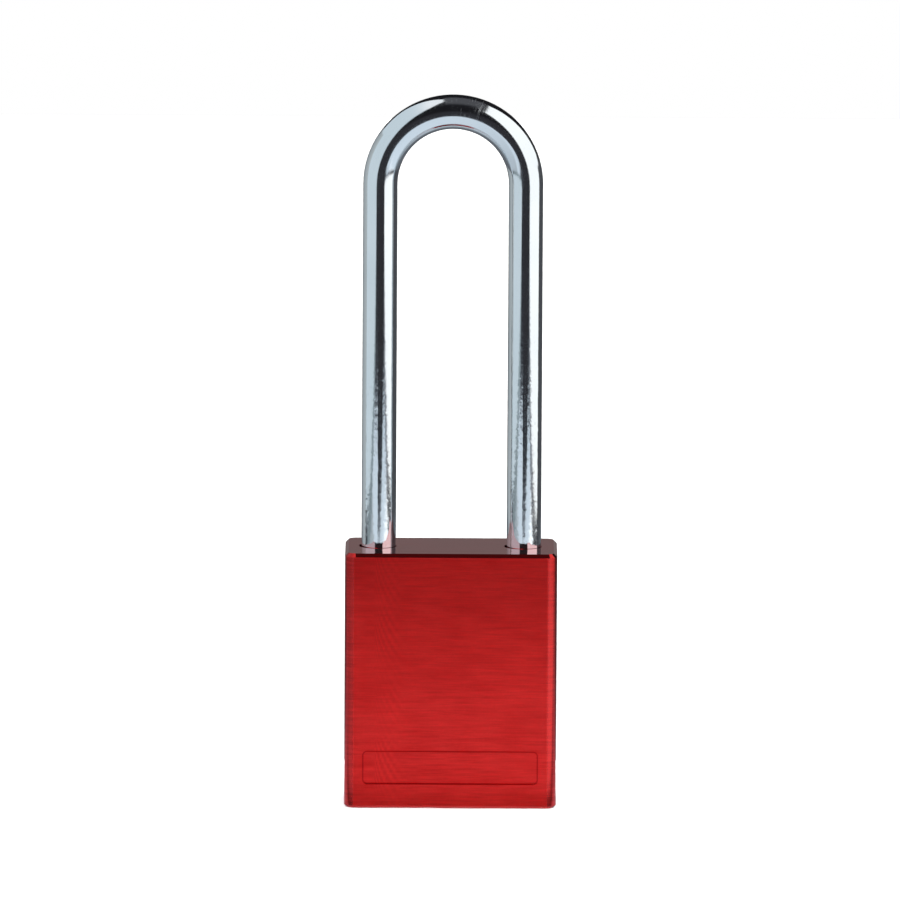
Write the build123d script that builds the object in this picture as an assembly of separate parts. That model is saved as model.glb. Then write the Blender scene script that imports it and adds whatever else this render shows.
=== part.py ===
from build123d import *
import math
import os

# A keyed safety padlock with a long fixed-diameter shackle, shown shut.
# Millimetres. Origin: centre of the bottom face. +Z runs up along the
# shackle's legs, X is the width and the front face looks towards -Y.
# The key cylinder stands in the bottom of the body and turns about +Z.
# Rest state: shackle home, plug turned to the release position (a quarter
# turn from the pins), so the two balls are drawn back.

os.makedirs("parts", exist_ok=True)

# ---------------------------------------------------------------- body block
BODY_W = 38.1            # width (X)
BODY_D = 19.05           # depth (Y)
BODY_H = 46.2            # height (Z)
CORNER_R = 2.0           # rounding of the four upright edges
TOP_BREAK = 0.62         # chamfer round the top face
BOTTOM_BREAK = 0.4       # chamfer round the bottom face
FIELD_W = 31.6           # plain sunk marking field on the front face
FIELD_H = 6.1
FIELD_Z = 7.35           # its middle height
FIELD_DEPTH = 0.28
FIELD_SLOPE = 40         # draft of its side walls, degrees
FIELD_R = 0.9

# ------------------------------------------------------------------- shackle
SHACKLE_D = 6.2          # rod diameter
LEG_X = 13.05            # leg axis from the middle
CLEARANCE_H = 75.7       # free height inside the loop
TOE_END_Z = 34.8         # lower end of the short leg
HEEL_END_Z = 23.4        # lower end of the long leg
LIFT = 11.9              # travel of the shackle when it opens

HEEL_BORE_X = -13.2      # leg bore axes, both a little left of their legs
TOE_BORE_X = 12.9
BORE_R = 3.36
BORE_LEAD = 0.08         # broken edge at the bore mouths
HEEL_BORE_Z = 11.0       # floor of the long leg's bore
TOE_BORE_Z = 34.0        # floor of the short leg's bore

# ------------------------------------------------------- ball locking system
BALL_Z = 39.0
BALL_R = 2.38            # 3/16 in balls
BALL_CHANNEL_R = 2.43
NOTCH_R = 2.5
LOCKED_X = 9.17          # ball centre when it fills a shackle notch
TOE_FREE_X = 7.53        # toe ball centre when drawn back
HEEL_FREE_X = 8.42       # heel ball stays in the track, so the shackle stays in
CAM_GAP = 0.08
TRACK_DEPTH_X = 10.87    # face of the heel leg's track, from the middle
TRACK_GROOVE_R = 2.18    # turned groove at the track's end (swivel groove)
CAM_Z0, CAM_Z1 = 36.3, 41.6
CHAMBER_R = 7.05         # cylinder bore, goes on up as the cam chamber
CHAMBER_TOP = 41.9

# ------------------------------------------------------------- lock cylinder
FACE_Z = 0.5             # cylinder face, just inside the bottom
HOUSING_R = 6.95
HOUSING_TOP = 30.2
BIBLE_HALF_W = 3.25      # half width of the pin stack housing
BIBLE_X = 14.0           # its outer face
BIBLE_CORNER = 1.5
SLIP = 0.1               # gap between housing and body
PLUG_R = 5.0
PLUG_BORE_R = 5.05
FLANGE_R = 5.6
FLANGE_T = 0.8
PIN_R = 1.45
PIN_BORE_R = 1.5
PIN_COUNT = 6
PIN_Z0 = 4.7             # first pin
PIN_PITCH = 3.8
KEY_PIN_LEN = [4.0, 5.0, 4.4, 5.2, 3.8, 4.7]
KEY_PIN_FOOT = -0.58     # tip of a dropped key pin, past the plug's axis
DRIVER_X0 = 5.03         # inner end of a driver pin
DRIVER_LEN = 4.2
COVER_X0, COVER_T = 13.34, 0.6
SCREW_X = 12.0           # cylinder retaining screw

CENTER3 = (Align.CENTER, Align.CENTER, Align.MIN)


def rod(r, z0, z1, x=0.0, y=0.0):
    """Upright cylinder of radius r from z0 to z1."""
    return Pos(x, y, z0) * Cylinder(r, z1 - z0, align=CENTER3)


def rod_x(r, x0, x1, z, y=0.0):
    """Cylinder of radius r lying along X from x0 to x1."""
    return Pos(x0, y, z) * Rot(0, 90, 0) * Cylinder(r, x1 - x0, align=CENTER3)


def cone_x(r0, r1, x0, x1, z):
    """Cone along X, radius r0 at x0 and r1 at x1."""
    return Pos(x0, 0, z) * Rot(0, 90, 0) * Cone(r0, r1, x1 - x0, align=CENTER3)


def slab(x0, x1, y0, y1, z0, z1):
    return Pos((x0 + x1) / 2, (y0 + y1) / 2, (z0 + z1) / 2) * Box(
        x1 - x0, y1 - y0, z1 - z0
    )


def bible(half_w, x1, z0, z1, corner):
    """Straight-sided block from the cylinder's axis out to x1, outer corners rounded."""
    b = slab(0, x1, -half_w, half_w, z0, z1)
    return fillet(b.edges().filter_by(Axis.Z).sort_by(Axis.X)[-2:], corner)


def coil(mean_r, wire_r, length, pitch):
    """Open compression spring, its outer ends at 0 and length along +Z."""
    rise = length - 2 * wire_r
    path = Helix(pitch=pitch, height=rise, radius=mean_r)
    section = Plane(origin=path @ 0, z_dir=path % 0) * Circle(wire_r)
    return Pos(0, 0, wire_r) * sweep(section, path=path, is_frenet=True)


parts = {}

# ---------------------------------------------------------------------- body
body = Pos(0, 0, 0) * Box(BODY_W, BODY_D, BODY_H, align=CENTER3)
body = fillet(body.edges().filter_by(Axis.Z), CORNER_R)
body = chamfer(body.faces().sort_by(Axis.Z)[-1].edges(), TOP_BREAK)
body = chamfer(body.faces().sort_by(Axis.Z)[0].edges(), BOTTOM_BREAK)

# leg bores, their mouths just broken
for x, floor in ((HEEL_BORE_X, HEEL_BORE_Z), (TOE_BORE_X, TOE_BORE_Z)):
    body -= rod(BORE_R, floor, BODY_H + 1, x)
    body -= Pos(x, 0, BODY_H - BORE_LEAD) * Cone(
        BORE_R, BORE_R + 2 * BORE_LEAD, 2 * BORE_LEAD, align=CENTER3
    )
# cylinder bore, which carries on up as the cam chamber, and the pin slot
body -= rod(CHAMBER_R, -1, CHAMBER_TOP)
body -= bible(BIBLE_HALF_W + SLIP, BIBLE_X + SLIP, -1, HOUSING_TOP + SLIP, BIBLE_CORNER)
# ball channel between the two leg bores
body -= rod_x(BALL_CHANNEL_R, -12, 12, BALL_Z)
# retaining screw: clearance hole and head seat in the toe bore's floor
body -= rod(1.3, HOUSING_TOP, TOE_BORE_Z, SCREW_X)
body -= rod(2.1, TOE_BORE_Z - 1.4, TOE_BORE_Z + 0.5, SCREW_X)
# plain sunk field, its walls sloping in from the face
front = Plane(origin=(0, -BODY_D / 2, FIELD_Z), x_dir=(1, 0, 0), z_dir=(0, 1, 0))
body -= extrude(
    front * RectangleRounded(FIELD_W, FIELD_H, FIELD_R), FIELD_DEPTH, taper=FIELD_SLOPE
)
parts["body"] = body

# ------------------------------------------------------------------- shackle
r_rod = SHACKLE_D / 2
arc_z = BODY_H + CLEARANCE_H - (LEG_X - r_rod)
path = (
    Line((LEG_X, 0, TOE_END_Z), (LEG_X, 0, arc_z))
    + ThreePointArc((LEG_X, 0, arc_z), (0, 0, arc_z + LEG_X), (-LEG_X, 0, arc_z))
    + Line((-LEG_X, 0, arc_z), (-LEG_X, 0, HEEL_END_Z))
)
shackle = sweep(Pos(LEG_X, 0, TOE_END_Z) * Circle(r_rod), path=path)
shackle = chamfer(
    [shackle.faces().sort_by(Axis.Z)[0].edges()[0]]
    + [
        f.edges()[0]
        for f in shackle.faces().filter_by(Axis.Z)
        if abs(f.center().Z - TOE_END_Z) < 0.01
    ],
    0.5,
)
# crosswise notches for the balls
for s in (-1, 1):
    shackle -= Pos(s * LOCKED_X, 0, BALL_Z) * Rot(90, 0, 0) * Cylinder(NOTCH_R, 10)
# heel leg: flat track down to a turned groove above the end collar
groove_z = BALL_Z - LIFT
shackle -= slab(-TRACK_DEPTH_X, -9, -4, 4, groove_z, BALL_Z)
shackle -= rod(5, groove_z - 1.85, groove_z + 1.9, -LEG_X) - rod(
    TRACK_GROOVE_R, groove_z - 3, groove_z + 3, -LEG_X
)
parts["shackle"] = shackle

# spring under the heel leg, pressed down by the shut shackle
parts["shackle_spring"] = Pos(HEEL_BORE_X, 0, HEEL_BORE_Z + 0.05) * coil(
    2.3, 0.35, HEEL_END_Z - HEEL_BORE_Z - 0.1, 1.45
)

# ---------------------------------------------------------------- lock balls
parts["toe_ball"] = Pos(TOE_FREE_X, 0, BALL_Z) * Sphere(BALL_R)
parts["heel_ball"] = Pos(-HEEL_FREE_X, 0, BALL_Z) * Sphere(BALL_R)

# ------------------------------------------------------------------ actuator
# A cam above the plug. Its radius grows evenly over a quarter turn, from a
# deep pocket for the toe ball and a shallow one for the heel ball to a full
# radius that holds both balls out in the shackle's notches.
toe_r = TOE_FREE_X - BALL_R - CAM_GAP
heel_r = HEEL_FREE_X - BALL_R - CAM_GAP
full_r = LOCKED_X - BALL_R - CAM_GAP


def polar(r, a):
    return (r * math.cos(math.radians(a)), r * math.sin(math.radians(a)))


def spiral(r0, r1, a0):
    """Two arcs that follow an even spiral from a0 over 90 degrees."""
    at = lambda t: polar(r0 + (r1 - r0) * t, a0 + 90 * t)
    return ThreePointArc(at(0), at(0.25), at(0.5)) + ThreePointArc(
        at(0.5), at(0.75), at(1)
    )


POCKET = 22
profile = (
    ThreePointArc(polar(toe_r, -POCKET), polar(toe_r, -POCKET / 2), polar(toe_r, 0))
    + spiral(toe_r, full_r, 0)
    + ThreePointArc(polar(full_r, 90), polar(full_r, 120), polar(full_r, 180 - POCKET))
    + Line(polar(full_r, 180 - POCKET), polar(heel_r, 180 - POCKET))
    + ThreePointArc(
        polar(heel_r, 180 - POCKET), polar(heel_r, 180 - POCKET / 2), polar(heel_r, 180)
    )
    + spiral(heel_r, full_r, 180)
    + ThreePointArc(polar(full_r, 270), polar(full_r, 300), polar(full_r, 360 - POCKET))
    + Line(polar(full_r, -POCKET), polar(toe_r, -POCKET))
)
cam_face = make_face(profile.edges())
actuator = Pos(0, 0, CAM_Z0) * extrude(cam_face, CAM_Z1 - CAM_Z0)
actuator += rod(CHAMBER_R - 0.1, 31.9, CAM_Z0)
actuator -= slab(-4.1, 4.1, -1.1, 1.1, 31, 33.9)
parts["actuator"] = actuator

# --------------------------------------------------------- cylinder housing
pin_z = [PIN_Z0 + PIN_PITCH * i for i in range(PIN_COUNT)]
housing = rod(HOUSING_R, FACE_Z, HOUSING_TOP) + bible(
    BIBLE_HALF_W, BIBLE_X, FACE_Z, HOUSING_TOP, BIBLE_CORNER
)
housing -= rod(PLUG_BORE_R, FACE_Z - 1, HOUSING_TOP + 1)
housing -= rod(FLANGE_R + 0.05, FACE_Z - 1, FACE_Z + FLANGE_T + 0.05)
for z in pin_z:
    housing -= rod_x(PIN_BORE_R, 4, 13.6, z)
housing -= slab(COVER_X0 - 0.04, BIBLE_X + 1, -1.9, 1.9, 1.6, HOUSING_TOP + 1)
housing -= rod(1.25, 26.9, HOUSING_TOP + 1, SCREW_X)
parts["cylinder_housing"] = housing

parts["chamber_cover"] = slab(
    COVER_X0, COVER_X0 + COVER_T, -1.86, 1.86, 1.65, HOUSING_TOP - 0.05
)

# ---------------------------------------------------------------------- plug
# Drawn with its pin holes towards +X, then turned a quarter turn to rest.
plug = rod(PLUG_R, FACE_Z, HOUSING_TOP + 0.05)
plug += rod(FLANGE_R, FACE_Z, FACE_Z + FLANGE_T)
plug += rod(3.8, HOUSING_TOP, 31.2)
plug += rod(4.6, 30.95, 31.45)
plug += slab(-1.0, 1.0, -4.0, 4.0, 31.4, 33.7)
# keyway: a winding slot, open at the side away from the pins
way = [
    (-7, -0.95), (-2.2, -0.95), (-1.6, -0.35), (-0.6, -0.35), (0.0, -0.95),
    (2.6, -0.95), (2.6, 0.95), (1.4, 0.95), (0.8, 0.45), (-0.2, 0.45),
    (-0.9, 0.95), (-3.4, 0.95), (-3.9, 0.5), (-4.6, 0.5), (-5.0, 0.95),
    (-7, 0.95),
]
way_face = make_face(Polyline(*way, close=True).edges())
plug -= Pos(0, 0, FACE_Z - 1) * extrude(way_face, 27.0 - FACE_Z + 1)
for z in pin_z:
    plug -= rod_x(PIN_BORE_R, 0.4, 6, z)
    plug -= cone_x(0.48, PIN_BORE_R, -0.62, 0.4, z)
TURN = Rot(0, 0, 90)
parts["plug"] = TURN * plug

clip = rod(5.8, 30.3, 30.9) - rod(3.9, 30, 31.5) - slab(0, 8, -2.9, 2.9, 30, 31.5)
parts["plug_clip"] = TURN * clip

# ---------------------------------------------------------------- pin stacks
for i, z in enumerate(pin_z, 1):
    tip = KEY_PIN_FOOT
    top = tip + KEY_PIN_LEN[i - 1]
    tip_r = 0.46
    shoulder = tip + (PIN_R - tip_r)
    key_pin = cone_x(tip_r, PIN_R, tip, shoulder, z) + rod_x(PIN_R, shoulder, top, z)
    key_pin = chamfer(key_pin.edges().sort_by(Axis.X)[-1], 0.25)
    parts[f"key_pin_{i}"] = TURN * key_pin

    driver = rod_x(PIN_R, DRIVER_X0, DRIVER_X0 + DRIVER_LEN, z)
    driver = chamfer(driver.edges().group_by(Axis.X)[0], 0.2)
    driver = chamfer(driver.edges().group_by(Axis.X)[-1], 0.2)
    parts[f"driver_pin_{i}"] = driver

    x0 = DRIVER_X0 + DRIVER_LEN + 0.03
    parts[f"pin_spring_{i}"] = (
        Pos(x0, 0, z) * Rot(0, 90, 0) * coil(1.12, 0.14, COVER_X0 - 0.06 - x0, 0.62)
    )

# --------------------------------------------------- cylinder retaining screw
screw = rod(1.22, 27.1, 32.75, SCREW_X) + rod(2.0, 32.7, 33.9, SCREW_X)
hexagon = Pos(SCREW_X, 0, 33.2) * extrude(RegularPolygon(1.0, 6), 1)
screw -= hexagon
parts["retaining_screw"] = screw

for name, shape in parts.items():
    solids = shape.solids()
    shape = solids[0] if len(solids) == 1 else shape
    export_step(shape, f"parts/{name}.step")
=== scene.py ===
import math

import bpy
from mathutils import Matrix, Vector


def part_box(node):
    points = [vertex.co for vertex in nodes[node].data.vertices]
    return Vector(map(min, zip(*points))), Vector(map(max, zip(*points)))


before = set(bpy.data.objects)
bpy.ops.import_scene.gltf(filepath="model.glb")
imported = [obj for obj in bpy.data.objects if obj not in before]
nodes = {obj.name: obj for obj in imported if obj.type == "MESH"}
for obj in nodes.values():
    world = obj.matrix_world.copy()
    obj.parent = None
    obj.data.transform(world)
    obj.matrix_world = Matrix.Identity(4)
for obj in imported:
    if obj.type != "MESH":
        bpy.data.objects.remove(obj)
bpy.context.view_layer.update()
scene = bpy.context.scene
scene.view_settings.view_transform = "Standard"


# ---------------------------------------------------------------- node helper
class Net:
    """A material built around one Principled shader."""

    def __init__(self, name):
        self.mat = bpy.data.materials.new(name)
        self.mat.use_nodes = True
        self.nt = self.mat.node_tree
        self.nt.nodes.clear()
        self.out = self.nt.nodes.new("ShaderNodeOutputMaterial")
        self.b = self.nt.nodes.new("ShaderNodeBsdfPrincipled")
        self.nt.links.new(self.b.outputs[0], self.out.inputs[0])
        self.coord = self.nt.nodes.new("ShaderNodeTexCoord")
        self.co = self.coord.outputs["Object"]

    def put(self, sock, v):
        if isinstance(v, bpy.types.NodeSocket):
            self.nt.links.new(v, sock)
        elif v is not None:
            sock.default_value = v

    def set(self, **values):
        for k, v in values.items():
            self.put(self.b.inputs[k.replace("_", " ")], v)

    def m(self, op, a, b=None, c=None, clamp=False):
        n = self.nt.nodes.new("ShaderNodeMath")
        n.operation = op
        n.use_clamp = clamp
        self.put(n.inputs[0], a)
        self.put(n.inputs[1], b)
        self.put(n.inputs[2], c)
        return n.outputs[0]

    def vm(self, op, a, b=None, scale=None):
        n = self.nt.nodes.new("ShaderNodeVectorMath")
        n.operation = op
        self.put(n.inputs[0], a)
        if b is not None:
            self.put(n.inputs[1], b)
        if scale is not None:
            self.put(n.inputs["Scale"], scale)
        return n.outputs[0]

    def xyz(self, v):
        n = self.nt.nodes.new("ShaderNodeSeparateXYZ")
        self.put(n.inputs[0], v)
        return n.outputs[0], n.outputs[1], n.outputs[2]

    def vec(self, x, y, z):
        n = self.nt.nodes.new("ShaderNodeCombineXYZ")
        for i, v in enumerate((x, y, z)):
            self.put(n.inputs[i], v)
        return n.outputs[0]

    def noise(self, v, scale=1.0, detail=2.0, rough=0.5, dist=0.0):
        n = self.nt.nodes.new("ShaderNodeTexNoise")
        self.put(n.inputs["Vector"], v)
        self.put(n.inputs["Scale"], scale)
        self.put(n.inputs["Detail"], detail)
        self.put(n.inputs["Roughness"], rough)
        self.put(n.inputs["Distortion"], dist)
        return n.outputs[0]

    def voronoi(self, v, scale=1.0, feature="F1"):
        n = self.nt.nodes.new("ShaderNodeTexVoronoi")
        n.feature = feature
        self.put(n.inputs["Vector"], v)
        self.put(n.inputs["Scale"], scale)
        return n.outputs[0]

    def span(self, v, a, b, c=0.0, d=1.0, smooth=False):
        n = self.nt.nodes.new("ShaderNodeMapRange")
        if smooth:
            n.interpolation_type = "SMOOTHSTEP"
        for i, x in enumerate((v, a, b, c, d)):
            self.put(n.inputs[i], x)
        return n.outputs[0]

    def ramp(self, v, stops):
        n = self.nt.nodes.new("ShaderNodeValToRGB")
        e = n.color_ramp.elements
        while len(e) < len(stops):
            e.new(0.5)
        for s, (pos, col) in zip(e, stops):
            s.position = pos
            s.color = (*col, 1.0) if len(col) == 3 else col
        self.put(n.inputs[0], v)
        return n.outputs[0]

    def mix(self, f, a, b, blend="MIX"):
        n = self.nt.nodes.new("ShaderNodeMix")
        n.data_type = "RGBA"
        n.blend_type = blend
        n.clamp_factor = True
        self.put(n.inputs[0], f)
        self.put(n.inputs[6], (*a, 1.0) if isinstance(a, tuple) and len(a) == 3 else a)
        self.put(n.inputs[7], (*b, 1.0) if isinstance(b, tuple) and len(b) == 3 else b)
        return n.outputs[2]

    def bump(self, height, dist, strength=1.0, normal=None):
        n = self.nt.nodes.new("ShaderNodeBump")
        self.put(n.inputs["Height"], height)
        self.put(n.inputs["Distance"], dist)
        self.put(n.inputs["Strength"], strength)
        if normal is not None:
            self.put(n.inputs["Normal"], normal)
        return n.outputs[0]

    def facing(self):
        """0 where the surface is seen square on, 1 at its grazing edge."""
        n = self.nt.nodes.new("ShaderNodeLayerWeight")
        n.inputs["Blend"].default_value = 0.5
        return n.outputs["Facing"]

    def axis_normal(self):
        """Separate components of the surface normal in the piece's own axes."""
        return self.xyz(self.coord.outputs["Normal"])

    def scaled(self, v, x, y, z):
        return self.vm("MULTIPLY", v, (x, y, z))


# ---------------------------------------------------------------- materials
# red anodised aluminium: fly-cut and cross-brushed walls, smooth sawn ends
def red_anodised():
    n = Net("red_anodised_aluminium")
    x, y, z = n.xyz(n.co)
    nx, ny, nz = n.axis_normal()
    corner = n.span(n.m("MINIMUM", n.m("ABSOLUTE", nx), n.m("ABSOLUTE", ny)), 0.06, 0.30, smooth=True)  # rounded upright edges
    flat_end = n.span(n.m("ABSOLUTE", nz), 0.35, 0.62, smooth=True)  # top, bottom and their broken edges
    wall = n.m("SUBTRACT", 1.0, flat_end)

    # brushing that runs round the block: long fine lines, some shorter and stronger
    def centred(v, k=1.0):
        return n.m("MULTIPLY", n.m("SUBTRACT", v, 0.5), k)

    long_lines = centred(n.noise(n.scaled(n.co, 95.0, 95.0, 1900.0), detail=2.0, rough=0.6))
    fine_lines = centred(n.noise(n.scaled(n.co, 260.0, 260.0, 3800.0), detail=2.0, rough=0.6))
    wide_bands = centred(n.noise(n.scaled(n.co, 60.0, 60.0, 620.0), detail=1.0, rough=0.5))
    brush = n.m("ADD", n.m("ADD", n.m("MULTIPLY", long_lines, 0.78), n.m("MULTIPLY", fine_lines, 1.15)), n.m("MULTIPLY", wide_bands, 0.22))

    # arcs left by the cutter, swung about a centre that travels up the big faces
    cx, r, pitch = 0.0081, 0.0218, 0.0023
    dx = n.m("SUBTRACT", x, cx)
    under = n.m("SQRT", n.m("MAXIMUM", n.m("SUBTRACT", r * r, n.m("MULTIPLY", dx, dx)), 1e-8))
    q1, q2 = n.m("ADD", z, under), n.m("SUBTRACT", z, under)
    side = n.m("MULTIPLY", n.m("SIGN", y), 7.0)
    turn = 2 * math.pi / pitch
    drift1 = centred(n.noise(n.vec(n.m("MULTIPLY", q1, 260.0), side, n.m("MULTIPLY", x, 30.0)), detail=2.0), 7.0)
    drift2 = centred(n.noise(n.vec(n.m("MULTIPLY", q2, 260.0), n.m("ADD", side, 3.0), n.m("MULTIPLY", x, 30.0)), detail=2.0), 7.0)
    arc1 = n.m("SINE", n.m("ADD", n.m("MULTIPLY", q1, turn), drift1))
    arc2 = n.m("SINE", n.m("ADD", n.m("MULTIPLY", q2, turn * 1.13), drift2))
    left = n.m("MULTIPLY", n.span(x, -0.0077, -0.0107, smooth=True), n.span(x, -0.0175, -0.0145, smooth=True))
    patch = n.span(n.noise(n.vec(n.m("MULTIPLY", x, 120.0), side, n.m("MULTIPLY", z, 120.0)), detail=1.0), 0.36, 0.60, smooth=True)
    big_face = n.span(n.m("ABSOLUTE", ny), 0.9, 0.99)
    arc_mask = n.m("MULTIPLY", n.m("MULTIPLY", left, big_face), n.m("MULTIPLY_ADD", patch, 0.75, 0.25))
    arcs = n.m("MULTIPLY", n.m("ADD", n.m("MULTIPLY", arc1, 0.150), n.m("MULTIPLY", arc2, 0.060)), arc_mask)

    # height, centred on zero so that no zone is brighter than the next
    h = n.m("ADD", n.m("MULTIPLY", brush, n.m("MULTIPLY_ADD", arc_mask, -0.45, 1.0)), arcs)
    h = n.m("MULTIPLY", h, wall)
    grain = centred(n.noise(n.co, 2600.0, 2.0))
    h = n.m("ADD", h, n.m("MULTIPLY", grain, n.m("MULTIPLY_ADD", wall, 0.30, 0.03)))
    saw = centred(n.noise(n.scaled(n.co, 60.0, 1500.0, 60.0), detail=2.0, rough=0.6))
    h_end = n.m("MULTIPLY", n.m("MULTIPLY", saw, flat_end), 0.16)
    normal = n.bump(n.m("ADD", h, h_end), 0.000022, 0.42)

    # dye: slightly uneven; on top of it a painted highlight and shade, the colour lighter on the tool marks' ridges
    # and darker in their grooves, following the bump height
    dye = n.noise(n.scaled(n.co, 1.0, 1.0, 1.6), 70.0, 3.0, 0.55)
    dye_and_mark_shade = n.m("ADD", n.span(dye, 0.3, 0.7, 0.965, 1.035), n.m("ADD", n.m("MULTIPLY", h, 0.46), n.m("MULTIPLY", h_end, 2.0)))
    red = n.mix(n.span(dye, 0.3, 0.7), (0.585, 0.0135, 0.0125), (0.625, 0.0155, 0.0140))
    red = n.mix(1.0, red, n.vec(dye_and_mark_shade, dye_and_mark_shade, dye_and_mark_shade), "MULTIPLY")
    corner = n.m("MULTIPLY", corner, wall)
    rough = n.m("ADD", n.m("MULTIPLY_ADD", corner, -0.18, n.m("MULTIPLY", wall, 0.40)), n.m("MULTIPLY", flat_end, 0.085))
    rough = n.m("ADD", rough, n.m("MULTIPLY", fine_lines, 0.10))
    # the smooth ends mirror at a grazing angle and are satin when looked at more squarely
    satin = n.m("MULTIPLY", n.span(n.facing(), 0.80, 0.62, smooth=True), n.span(n.m("ABSOLUTE", nz), 0.80, 0.92, smooth=True))
    rough = n.m("MULTIPLY_ADD", satin, 0.20, rough)
    metallic = n.m("ADD", n.m("MULTIPLY_ADD", wall, -0.20, 1.0), n.m("MULTIPLY", corner, 0.20))
    n.set(
        Base_Color=red,
        Metallic=metallic,
        Roughness=rough,
        Anisotropic=n.m("MULTIPLY_ADD", corner, -0.40, n.m("MULTIPLY", wall, 0.72)),
        Tangent=n.vec(0.0, 0.0, 1.0),
        Normal=normal,
        Specular_IOR_Level=0.0,
        Coat_Weight=n.m("ADD", n.m("MULTIPLY_ADD", wall, -0.20, 0.32), n.m("ADD", n.m("MULTIPLY", corner, 0.28), n.m("MULTIPLY", h, 0.30))),
        Coat_Roughness=n.m("ADD", n.m("MULTIPLY_ADD", wall, 0.20, 0.07), n.m("MULTIPLY", corner, -0.12)),
        Coat_IOR=1.6,
    )
    return n.mat


# zinc-plated drawn steel rod: grain follows the rod round its bend
def plated_rod():
    lo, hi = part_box("shackle")
    rod = hi.y - lo.y
    leg = (hi.x - lo.x - rod) / 2
    zc = hi.z - leg - rod / 2
    n = Net("zinc_plated_steel")
    x, y, z = n.xyz(n.co)
    dz = n.m("SUBTRACT", z, zc)
    rr = n.m("SQRT", n.m("ADD", n.m("MULTIPLY", x, x), n.m("MULTIPLY", dz, dz)))
    bend = n.m("GREATER_THAN", dz, 0.0)
    ang = n.m("ARCTAN2", dz, n.m("ABSOLUTE", x))
    s = n.m("ADD", n.m("MULTIPLY", n.m("MULTIPLY", ang, leg), bend), n.m("MULTIPLY", dz, n.m("SUBTRACT", 1.0, bend)))
    across = n.m("SUBTRACT", n.m("ADD", n.m("MULTIPLY", rr, bend), n.m("MULTIPLY", n.m("ABSOLUTE", x), n.m("SUBTRACT", 1.0, bend))), leg)
    rodco = n.vec(n.m("ADD", across, n.m("MULTIPLY", n.m("SIGN", x), 0.05)), y, s)
    straight = n.span(dz, 0.002, -0.012, smooth=True)

    draw = n.noise(n.scaled(rodco, 2600.0, 2600.0, 110.0), detail=3.0, rough=0.6)
    peel = n.noise(n.scaled(rodco, 1700.0, 1700.0, 800.0), detail=2.0, rough=0.55)
    speck = n.span(n.noise(n.scaled(rodco, 1700.0, 1700.0, 760.0), detail=1.0), 0.46, 0.72, smooth=True)
    streak = n.noise(n.scaled(rodco, 1150.0, 1150.0, 280.0), detail=1.0, rough=0.5)
    wave = n.noise(n.scaled(rodco, 320.0, 320.0, 240.0), detail=1.0)
    low = n.span(dz, -0.020, -0.040, smooth=True)
    # heights in metres: long drawing lines, then the plating's fine unevenness low on the legs
    h = n.m("MULTIPLY", draw, n.m("MULTIPLY_ADD", low, 0.0000015, 0.0000008))
    h = n.m("ADD", h, n.m("MULTIPLY", peel, n.m("ADD", n.m("MULTIPLY", low, 0.0000030), n.m("MULTIPLY_ADD", straight, 0.0000012, 0.0000003))))
    h = n.m("ADD", h, n.m("MULTIPLY", streak, n.m("MULTIPLY_ADD", low, 0.000012, 0.0000015)))
    h = n.m("ADD", h, n.m("MULTIPLY", wave, n.m("MULTIPLY", straight, 0.000003)))
    specks = n.span(dz, -0.012, -0.036, smooth=True)
    h = n.m("ADD", h, n.m("MULTIPLY", n.m("MULTIPLY", speck, specks), 0.0000030))
    # short scuffs across the top of the bend, and the faint step where the bend begins
    scuff = n.noise(n.scaled(rodco, 260.0, 260.0, 5200.0), detail=2.0, rough=0.7)
    on_top = n.m("MULTIPLY", n.span(ang, 1.05, 1.25, smooth=True), n.span(x, -0.002, 0.002, smooth=True))
    h = n.m("ADD", h, n.m("MULTIPLY", n.m("MULTIPLY", scuff, on_top), 0.0000020))
    crease = n.m("SUBTRACT", 1.0, n.span(n.m("ABSOLUTE", n.m("SUBTRACT", s, 0.0021)), 0.0, 0.0012, smooth=True))
    h = n.m("ADD", h, n.m("MULTIPLY", n.m("MULTIPLY", crease, n.span(across, 0.0, -0.0025)), -0.0000018))
    normal = n.bump(h, 1.0, 1.0)
    cloud = n.noise(rodco, 90.0, 3.0)
    col = n.mix(n.span(cloud, 0.3, 0.7), (0.835, 0.875, 0.895), (0.885, 0.915, 0.930))
    col = n.mix(n.m("MULTIPLY", n.span(peel, 0.62, 0.75), n.m("MULTIPLY_ADD", low, 0.12, 0.04)), col, (0.50, 0.53, 0.57))
    rough = n.m("ADD", n.m("MULTIPLY_ADD", straight, -0.028, 0.106), n.m("MULTIPLY", n.m("SUBTRACT", peel, 0.5), 0.05))
    rough = n.m("ADD", rough, n.m("MULTIPLY", n.m("MULTIPLY", n.span(scuff, 0.53, 0.70), on_top), 0.20))
    n.set(Base_Color=col, Metallic=1.0, Roughness=rough, Normal=normal)
    return n.mat


def metal(name, lo, hi, rough, scale=(900.0, 900.0, 900.0), bump=0.000006, spread=0.10, stain=None):
    """Turned or drawn metal: colour drifts from lo to hi, tool marks in the stretched noise."""
    n = Net(name)
    marks = n.noise(n.scaled(n.co, *scale), detail=3.0, rough=0.6)
    cloud = n.noise(n.co, 260.0, 3.0, 0.6)
    col = n.mix(n.span(cloud, 0.3, 0.7), lo, hi)
    col = n.mix(n.m("MULTIPLY", n.span(marks, 0.35, 0.2), 0.25), col, tuple(c * 0.6 for c in lo))
    if stain:
        col = n.mix(n.m("MULTIPLY", n.span(n.noise(n.co, 520.0, 2.0), 0.58, 0.72), 0.45), col, stain)
    r = n.m("ADD", rough, n.m("MULTIPLY", n.m("SUBTRACT", marks, 0.5), spread))
    h = n.m("ADD", n.m("MULTIPLY", marks, 0.8), n.m("MULTIPLY", n.noise(n.co, 6000.0, 2.0), 0.2))
    n.set(Base_Color=col, Metallic=1.0, Roughness=r, Normal=n.bump(h, bump, 0.6))
    return n.mat


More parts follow.
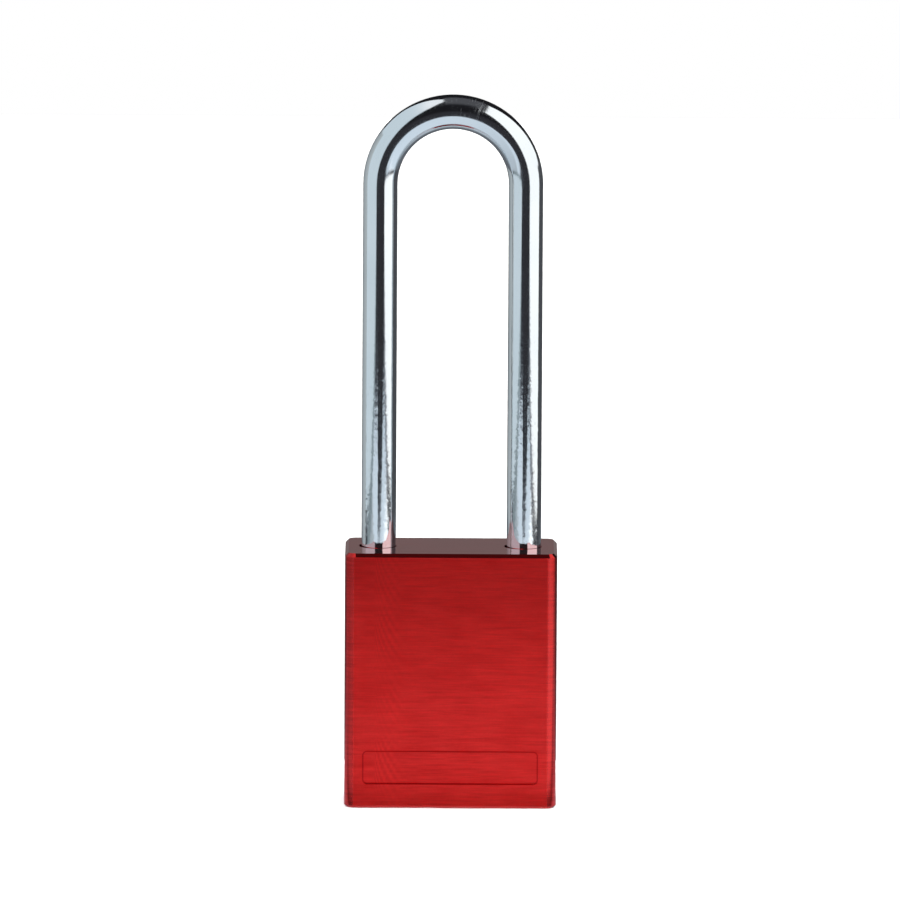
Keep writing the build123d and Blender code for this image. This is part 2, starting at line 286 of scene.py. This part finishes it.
def turned_face(name, lo, hi, rough, centre=(0.0, 0.0), rings=5200.0):
    """Faced brass: fine rings round the plug's axis on flat ends, drawn lines on the sides."""
    n = Net(name)
    x, y, z = n.xyz(n.co)
    dx, dy = n.m("SUBTRACT", x, centre[0]), n.m("SUBTRACT", y, centre[1])
    rad = n.m("SQRT", n.m("ADD", n.m("MULTIPLY", dx, dx), n.m("MULTIPLY", dy, dy)))
    nx, ny, nz = n.axis_normal()
    end = n.span(n.m("ABSOLUTE", nz), 0.8, 0.95)
    ring = n.noise(n.vec(n.m("MULTIPLY", rad, rings), 0.0, 0.0), detail=2.0, rough=0.7)
    side = n.noise(n.scaled(n.co, 200.0, 200.0, 3600.0), detail=2.0, rough=0.6)
    marks = n.m("ADD", n.m("MULTIPLY", ring, end), n.m("MULTIPLY", side, n.m("SUBTRACT", 1.0, end)))
    cloud = n.noise(n.co, 240.0, 3.0, 0.6)
    col = n.mix(n.span(cloud, 0.3, 0.7), lo, hi)
    col = n.mix(n.m("MULTIPLY", n.span(n.noise(n.co, 700.0, 2.0), 0.6, 0.75), 0.35), col, tuple(c * 0.55 for c in lo))
    r = n.m("ADD", rough, n.m("MULTIPLY", n.m("SUBTRACT", marks, 0.5), 0.20))
    n.set(Base_Color=col, Metallic=1.0, Roughness=r, Normal=n.bump(marks, 0.000030, 0.7))
    return n.mat


def ball_steel():
    n = Net("ball_bearing_steel")
    cloud = n.noise(n.co, 500.0, 2.0)
    col = n.mix(n.span(cloud, 0.3, 0.7), (0.60, 0.61, 0.62), (0.68, 0.69, 0.70))
    pits = n.span(n.voronoi(n.co, 3200.0), 0.16, 0.05)
    n.set(
        Base_Color=n.mix(n.m("MULTIPLY", pits, 0.3), col, (0.30, 0.30, 0.31)),
        Metallic=1.0,
        Roughness=n.m("MULTIPLY_ADD", n.noise(n.co, 1200.0, 2.0), 0.08, 0.07),
        Normal=n.bump(n.noise(n.scaled(n.co, 3000.0, 900.0, 900.0), detail=2.0), 0.000003, 0.5),
    )
    return n.mat


made = {
    "anodised_body": red_anodised(),
    "plated_rod": plated_rod(),
    "spring_steel": metal("spring_steel_wire", (0.46, 0.47, 0.49), (0.58, 0.59, 0.60), 0.26, (3500.0, 3500.0, 3500.0)),
    "ball_steel": ball_steel(),
    "cast_actuator": metal("sintered_steel", (0.42, 0.42, 0.41), (0.52, 0.515, 0.50), 0.40, (2400.0, 2400.0, 2400.0), 0.000012, 0.16, (0.20, 0.19, 0.17)),
    "brass_housing": turned_face("brass_bar", (0.66, 0.45, 0.15), (0.78, 0.56, 0.21), 0.27, rings=2400.0),
    "brass_strip": metal("rolled_brass", (0.62, 0.46, 0.20), (0.74, 0.57, 0.27), 0.30, (300.0, 300.0, 3600.0)),
    "brass_plug": turned_face("turned_brass", (0.74, 0.53, 0.20), (0.86, 0.65, 0.28), 0.19, rings=3100.0),
    "plain_steel": metal("blackened_screw_steel", (0.15, 0.15, 0.16), (0.24, 0.24, 0.25), 0.34, (2200.0, 2200.0, 2200.0), 0.000008, 0.12, (0.30, 0.29, 0.27)),
    "pin_brass": metal("pin_brass", (0.66, 0.49, 0.21), (0.78, 0.60, 0.30), 0.22, (500.0, 3800.0, 500.0)),
    "pin_silver": metal("nickel_silver", (0.58, 0.57, 0.53), (0.70, 0.69, 0.65), 0.22, (3800.0, 500.0, 500.0)),
}
for node in nodes.values():
    for s in node.material_slots:
        s.material = made[s.material.name.split(".")[0]]


# ---------------------------------------------------------------- stage
def quad(name, corners):
    me = bpy.data.meshes.new(name)
    me.from_pydata([tuple(c) for c in corners], [], [tuple(range(len(corners)))])
    o = bpy.data.objects.new(name, me)
    scene.collection.objects.link(o)
    return o


def rays(o, camera=False, diffuse=False, glossy=False, shadow=False):
    o.visible_camera = camera
    o.visible_diffuse = diffuse
    o.visible_glossy = glossy
    o.visible_transmission = False
    o.visible_volume_scatter = False
    o.visible_shadow = shadow


def glow(name, colour, strength=1.0):
    m = bpy.data.materials.new(name)
    m.use_nodes = True
    nt = m.node_tree
    nt.nodes.clear()
    e = nt.nodes.new("ShaderNodeEmission")
    e.inputs[0].default_value = (*colour, 1.0)
    e.inputs[1].default_value = strength
    o = nt.nodes.new("ShaderNodeOutputMaterial")
    nt.links.new(e.outputs[0], o.inputs[0])
    return m


def at(az, r, z):
    """A point at azimuth az (0 towards the front, + to the right), r out from the axis."""
    a = math.radians(az)
    return Vector((r * math.sin(a), -r * math.cos(a), z))


def card(name, corners, colour, strength=1.0):
    o = quad(name, corners)
    o.data.materials.append(glow(name, colour, strength))
    rays(o, glossy=True)
    return o


# pale floor that the camera sees, one-sided so that the underside can be looked at
floor = quad("floor", [(-0.9, -0.9, -0.0001), (0.9, -0.9, -0.0001), (0.9, 0.9, -0.0001), (-0.9, 0.9, -0.0001)])
fm = bpy.data.materials.new("pale_floor")
fm.use_nodes = True
nt = fm.node_tree
nt.nodes.clear()
fd = nt.nodes.new("ShaderNodeBsdfDiffuse")
fd.inputs[0].default_value = (0.93, 0.935, 0.94, 1)
ft = nt.nodes.new("ShaderNodeBsdfTransparent")
fg = nt.nodes.new("ShaderNodeNewGeometry")
fx = nt.nodes.new("ShaderNodeMixShader")
fo = nt.nodes.new("ShaderNodeOutputMaterial")
nt.links.new(fg.outputs["Backfacing"], fx.inputs[0])
nt.links.new(fd.outputs[0], fx.inputs[1])
nt.links.new(ft.outputs[0], fx.inputs[2])
nt.links.new(fx.outputs[0], fo.inputs[0])
floor.data.materials.append(fm)
rays(floor, camera=True)

# white backdrop all round, seen by the camera only
bpy.ops.mesh.primitive_uv_sphere_add(segments=48, ring_count=24, radius=3.8, location=(0, 0, 0))
dome = bpy.context.object
dome.name = "backdrop"
dome.data.materials.append(glow("backdrop_white", (1, 1, 1), 1.0))
rays(dome, camera=True)


# what the metal mirrors: a light table, a softbox along each side, a dark room in front and behind
def faded(name, near, far, axis, y0, y1):
    """Glow that goes from one colour to another along an axis."""
    m = glow(name, near, 1.0)
    nt = m.node_tree
    e = [n for n in nt.nodes if n.type == "EMISSION"][0]
    tc = nt.nodes.new("ShaderNodeTexCoord")
    sx = nt.nodes.new("ShaderNodeSeparateXYZ")
    nt.links.new(tc.outputs["Object"], sx.inputs[0])
    mr = nt.nodes.new("ShaderNodeMapRange")
    mr.interpolation_type = "SMOOTHSTEP"
    mr.inputs[1].default_value = y0
    mr.inputs[2].default_value = y1
    nt.links.new(sx.outputs[axis], mr.inputs[0])
    mx = nt.nodes.new("ShaderNodeMix")
    mx.data_type = "RGBA"
    mx.inputs[6].default_value = (*near, 1)
    mx.inputs[7].default_value = (*far, 1)
    nt.links.new(mr.outputs[0], mx.inputs[0])
    nt.links.new(mx.outputs[2], e.inputs[0])
    return m


def panel(name, corners, mat):
    o = quad(name, corners)
    o.data.materials.append(mat)
    rays(o, glossy=True)
    return o


WHITE = (1.10, 1.12, 1.13)
BLUE = (0.60, 0.69, 0.75)
TABLE = (0.66, 0.75, 0.84)
tg = faded("table_glow", TABLE, (0.125, 0.137, 0.155), 1, -0.012, 0.085)
TX, TR, TB, HX, HY = 0.268, 0.456, 0.29, 0.0195, 0.0100
# the table's far part, seen by the shackle: rounded at its front
edge = [at(a, TR, 0) for a in range(-35, 36, 2)]
panel("table_front", [Vector((-TX, -0.24, 0))] + edge + [Vector((TX, -0.24, 0))], tg)


# its near part, seen by the body: a low sheen of the right softbox at grazing angles, plain when seen from above
def table_near():
    m = glow("table_near", TABLE, 1.0)
    nt = m.node_tree
    e = [k for k in nt.nodes if k.type == "EMISSION"][0]
    tc = nt.nodes.new("ShaderNodeTexCoord")
    sx = nt.nodes.new("ShaderNodeSeparateXYZ")
    nt.links.new(tc.outputs["Object"], sx.inputs[0])

    def across(stops):
        mr = nt.nodes.new("ShaderNodeMapRange")
        for i, v in ((1, -0.25), (2, 0.25)):
            mr.inputs[i].default_value = v
        nt.links.new(sx.outputs[0], mr.inputs[0])
        r = nt.nodes.new("ShaderNodeValToRGB")
        while len(r.color_ramp.elements) < len(stops):
            r.color_ramp.elements.new(0.5)
        for k, (x, c) in zip(r.color_ramp.elements, stops):
            k.position = (x + 0.25) / 0.5
            k.color = (*c, 1.0)
        nt.links.new(mr.outputs[0], r.inputs[0])
        return r.outputs[0]

    graze = across([(-0.16, (0.40, 0.44, 0.48)), (-0.08, (0.68, 0.73, 0.78)), (0.0, (0.84, 0.89, 0.94)), (0.05, (1.34, 1.36, 1.38)), (0.15, (1.22, 1.26, 1.30))])
    steep = across([(-0.18, tuple(c * 0.74 for c in TABLE)), (-0.02, tuple(c * 0.96 for c in TABLE)), (0.15, tuple(c * 1.06 for c in TABLE))])
    lw = nt.nodes.new("ShaderNodeLayerWeight")
    lw.inputs[0].default_value = 0.5
    t = nt.nodes.new("ShaderNodeMapRange")
    t.interpolation_type = "SMOOTHSTEP"
    t.inputs[1].default_value, t.inputs[2].default_value = 0.55, 0.80
    nt.links.new(lw.outputs["Facing"], t.inputs[0])
    mx = nt.nodes.new("ShaderNodeMix")
    mx.data_type = "RGBA"
    nt.links.new(t.outputs[0], mx.inputs[0])
    nt.links.new(steep, mx.inputs[6])
    nt.links.new(graze, mx.inputs[7])
    nt.links.new(mx.outputs[2], e.inputs[0])
    return m


near = table_near()
# the table strip next to the lock fades darker towards its foot: a painted shadow of the lock on the table
foot_shadow_glow = faded("table_foot_painted_shadow", TABLE, (0.16, 0.17, 0.18), 1, -0.026, -0.011)
panel("table_near", [(-TX, -0.24, 0), (TX, -0.24, 0), (TX, -0.026, 0), (-TX, -0.026, 0)], near)
panel("table_foot_painted_shadow", [(-TX, -0.026, 0), (TX, -0.026, 0), (TX, -HY, 0), (-TX, -HY, 0)], foot_shadow_glow)
panel("table_rear", [(-TX, HY, 0), (TX, HY, 0), (TX, TB, 0), (-TX, TB, 0)], tg)
panel("table_left", [(-TX, -HY, 0), (-HX, -HY, 0), (-HX, HY, 0), (-TX, HY, 0)], tg)
panel("table_right", [(HX, -HY, 0), (TX, -HY, 0), (TX, HY, 0), (HX, HY, 0)], tg)
# the gaps between the table and the softboxes
panel("gap_left", [(-0.33, -0.60, -0.001), (-TX, -0.60, -0.001), (-TX, -0.05, -0.001), (-0.33, -0.05, -0.001)], glow("gap_left_grey", (0.20, 0.25, 0.27)))
panel("gap_right", [(0.258, -0.60, 0.0004), (0.33, -0.60, 0.0004), (0.33, -0.20, 0.0004), (0.258, -0.20, 0.0004)], glow("gap_right_grey", (0.125, 0.135, 0.160)))
# a dark stand in front of the table, narrowing towards the lock
stand = faded("stand_dark", (0.026, 0.028, 0.034), (0.15, 0.165, 0.19), 1, -0.365, -0.300)
outline = [(0.470, -13, 21), (0.454, -12, 20), (0.414, -10, 21), (0.380, -9, 19), (0.345, -10, 14), (0.322, -10, 10), (0.295, -8, 6)]
panel("stand", [at(a, r, 0.0006) for r, a, b in outline] + [at(b, r, 0.0006) for r, a, b in reversed(outline)], stand)
# an even light from below, seen through the footprint by the underside
panel("light_below", [(-0.5, -0.5, -0.35), (0.5, -0.5, -0.35), (0.5, 0.5, -0.35), (-0.5, 0.5, -0.35)], faded("below_glow", (1.05, 1.06, 1.08), (0.50, 0.51, 0.54), 1, -0.30, 0.35))

# softboxes: lower half from the front to just behind the lock, upper half reaching further back
white = glow("softbox_white", WHITE)
panel("softbox_right", [(0.30, -0.60, 0.006), (0.30, 0.045, 0.006), (0.30, 0.045, 0.10), (0.30, -0.60, 0.10)], white)
panel("softbox_right_top", [(0.30, -0.60, 0.10), (0.30, 0.045, 0.10), (0.30, 0.20, 0.18), (0.30, 0.20, 0.70), (0.30, -0.60, 0.70)], white)
blue = faded("softbox_blue", BLUE, (0.90, 0.92, 0.95), 2, 0.45, 1.05)
panel("softbox_left", [(-0.30, -0.62, 0.006), (-0.30, 0.045, 0.006), (-0.30, 0.045, 0.13), (-0.30, -0.62, 0.13)], blue)
panel("softbox_left_top", [(-0.30, -0.62, 0.13), (-0.30, 0.045, 0.13), (-0.30, 0.30, 0.24), (-0.30, 0.50, 0.45), (-0.30, 0.50, 2.3), (-0.30, -0.34, 2.3), (-0.30, -0.62, 1.0)], blue)
panel("left_rear", [(-0.30, 0.05, 0.0), (-0.16, 0.30, 0.0), (-0.16, 0.30, 0.20), (-0.30, 0.05, 0.28)], faded("left_rear_grey", (0.44, 0.48, 0.50), (0.30, 0.33, 0.35), 1, 0.05, 0.26))
panel("rear_low", [at(152, .62, 0), at(212, .62, 0), at(212, .62, .20), at(152, .62, .20)], glow("rear_grey", (0.20, 0.20, 0.20)))
panel("right_rear", [(0.30, 0.05, 0.0), (0.16, 0.34, 0.0), (0.16, 0.34, 0.14), (0.30, 0.05, 0.14)], glow("right_rear_grey", (0.070, 0.072, 0.080)))
panel("ceiling", [(-0.30, -1.90, 2.4), (1.05, -1.90, 2.4), (1.05, 1.20, 2.4), (-0.30, 1.20, 2.4)], faded("ceiling_grey", (0.012, 0.012, 0.015), (0.075, 0.076, 0.084), 1, -1.85, -0.60))

# the room: dark, darker still above the camera's side
world = bpy.data.worlds.new("room")
world.use_nodes = True
wt = world.node_tree
wb = wt.nodes["Background"]
wc = wt.nodes.new("ShaderNodeTexCoord")
wz = wt.nodes.new("ShaderNodeSeparateXYZ")
wr = wt.nodes.new("ShaderNodeMapRange")
wr.interpolation_type = "SMOOTHSTEP"
wr.inputs[1].default_value, wr.inputs[2].default_value = 0.02, 0.32
wm = wt.nodes.new("ShaderNodeMix")
wm.data_type = "RGBA"
wm.inputs[6].default_value = (0.028, 0.028, 0.033, 1)
wm.inputs[7].default_value = (0.010, 0.010, 0.012, 1)
wt.links.new(wc.outputs["Generated"], wz.inputs[0])
wt.links.new(wz.outputs[2], wr.inputs[0])
wt.links.new(wr.outputs[0], wm.inputs[0])
wt.links.new(wm.outputs[2], wb.inputs[0])
wb.inputs[1].default_value = 1.0
scene.world = world


# soft lights that reach only matt surfaces: the floor, and the matt part of the finish
def area(name, loc, target, size, radiance, colour=(1, 1, 1), glossy=False):
    d = bpy.data.lights.new(name, "AREA")
    d.shape = "RECTANGLE"
    d.size, d.size_y = size
    d.energy = radiance * math.pi * size[0] * size[1]
    d.color = colour
    o = bpy.data.objects.new(name, d)
    scene.collection.objects.link(o)
    o.location = loc
    o.rotation_mode = "QUATERNION"
    o.rotation_quaternion = (Vector(target) - Vector(loc)).to_track_quat("-Z", "Y")
    o.visible_camera = False
    o.visible_glossy = glossy
    return o


area("overhead", (0, 0, 3.0), (0, 0, 0), (4.0, 4.0), 3.4)
area("front_low", (0, -0.042, 0.009), (0, 0, 0.009), (0.16, 0.010), 13.6)
area("rear_low_strip", (0, 0.042, 0.009), (0, 0, 0.009), (0.16, 0.010), 13.6)
area("front_fill", (-0.5, -2.2, 0.5), (0, 0, 0.03), (1.6, 0.9), 0.7)
area("right_fill", (2.0, -0.3, 0.6), (0, 0, 0.03), (1.2, 1.0), 1.4)
area("left_fill", (-2.0, -0.3, 0.6), (0, 0, 0.03), (1.2, 1.0), 1.0)
area("rear_fill", (0.4, 2.2, 0.6), (0, 0, 0.03), (1.6, 1.0), 9.0)
area("below_fill", (0.3, -0.5, -1.6), (0, 0, 0.03), (1.6, 1.6), 0.9)

# ---------------------------------------------------------------- camera
ELEV, ROLL, DIST = math.radians(8.9745), math.radians(0.3174), 3.0
target = Vector((-0.0003165, 0.0, 0.0636627))
back = Vector((0.0, -math.cos(ELEV), math.sin(ELEV)))
cd = bpy.data.cameras.new("camera")
cd.sensor_width = 36.0
cd.lens = 667.96
cd.clip_start, cd.clip_end = 0.05, 60.0
cam = bpy.data.objects.new("camera", cd)
scene.collection.objects.link(cam)
cam.rotation_mode = "QUATERNION"
cam.location = target + back * DIST
aim = (-back).to_track_quat("-Z", "Y")
cam.rotation_quaternion = aim @ Matrix.Rotation(ROLL, 4, "Z").to_quaternion()
scene.camera = cam
